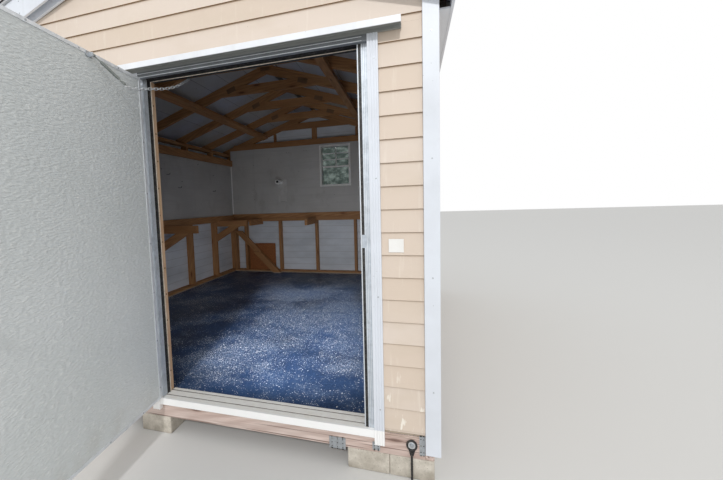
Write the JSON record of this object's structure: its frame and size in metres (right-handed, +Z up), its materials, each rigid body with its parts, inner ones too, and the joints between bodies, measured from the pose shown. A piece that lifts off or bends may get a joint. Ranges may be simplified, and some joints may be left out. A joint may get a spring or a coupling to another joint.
{
  "type": "storage shed",
  "caption": "Small gable storage shed on blocks with lap siding, an open trussed roof inside and one wide hinged door in the front wall.",
  "frame": {"origin": "On the ground, under the middle of the timber floor frame; the mount named base", "axes": "+X to the right along the front, +Y from the front wall to the back wall, +Z up"},
  "size_m": [3.268, 4.971, 2.7731],
  "materials": {
    "concrete": "rough cast concrete",
    "treated_timber": "weathered treated timber",
    "floor_paint": "navy floor coating with pale flecks",
    "siding": "cream painted lap siding, backs pale grey",
    "framing": "bare pine darkened to orange brown",
    "lining": "pale grey board",
    "roof_deck": "pale faced roof board",
    "shingles": "grey brown mineral shingle",
    "white_trim": "white painted trim",
    "aluminium": "mill finish, dulled",
    "door_skin": "pale grey stucco embossed sheet",
    "galvanised": "galvanised steel",
    "window_frame": "white",
    "glass": "clear",
    "white_plastic": "off white, bare",
    "hardboard": "brown hardboard",
    "black_cable": "black sheathed cable"
  },
  "bodies": {
    "building": {"foundation_blocks": "concrete", "floor_frame": "treated_timber", "floor_deck": "floor_paint", "front_wall_left": "siding", "front_wall_right": "siding", "front_gable": "siding", "back_wall": "siding", "left_wall": "siding", "right_wall": "siding", "front_wall_frame": "framing", "back_wall_frame": "framing", "left_wall_frame": "framing", "right_wall_frame": "framing", "back_lining": "lining", "side_linings": "lining", "trusses": "framing", "roof_runners": "framing", "side_girts": "framing", "roof_deck": "roof_deck", "shingles": "shingles", "ridge_cap": "shingles", "rake_trims": "white_trim", "eave_trims": "white_trim", "corner_trims": "white_trim", "door_frame": "aluminium", "door_casings": "white_trim", "drip_cap": "white_trim", "threshold": "aluminium", "hinge_plates": "galvanised", "door_stay": "galvanised", "window_frame": "window_frame", "window_glass": "glass", "bench_ledgers": "framing", "bench_brackets": "framing", "corner_brace": "framing", "wall_fixture": "white_plastic", "hardboard_panel": "hardboard", "blank_plate": "white_plastic", "tie_straps": "galvanised", "anchor_cables": "black_cable"},
    "door": {"door_leaf": "door_skin", "door_channel": "aluminium", "door_hinges": "galvanised", "door_latch": "galvanised", "stay_bracket": "galvanised"}
  },
  "joints": [
    {"name": "door_hinge", "type": "hinge", "parent": "building", "child": "door", "pos_m": [0.057, -1.865, 0], "axis": [0, 0, 1], "range_deg": [-10.6, 84.4], "deforming": ["door_stay"]}
  ]
}
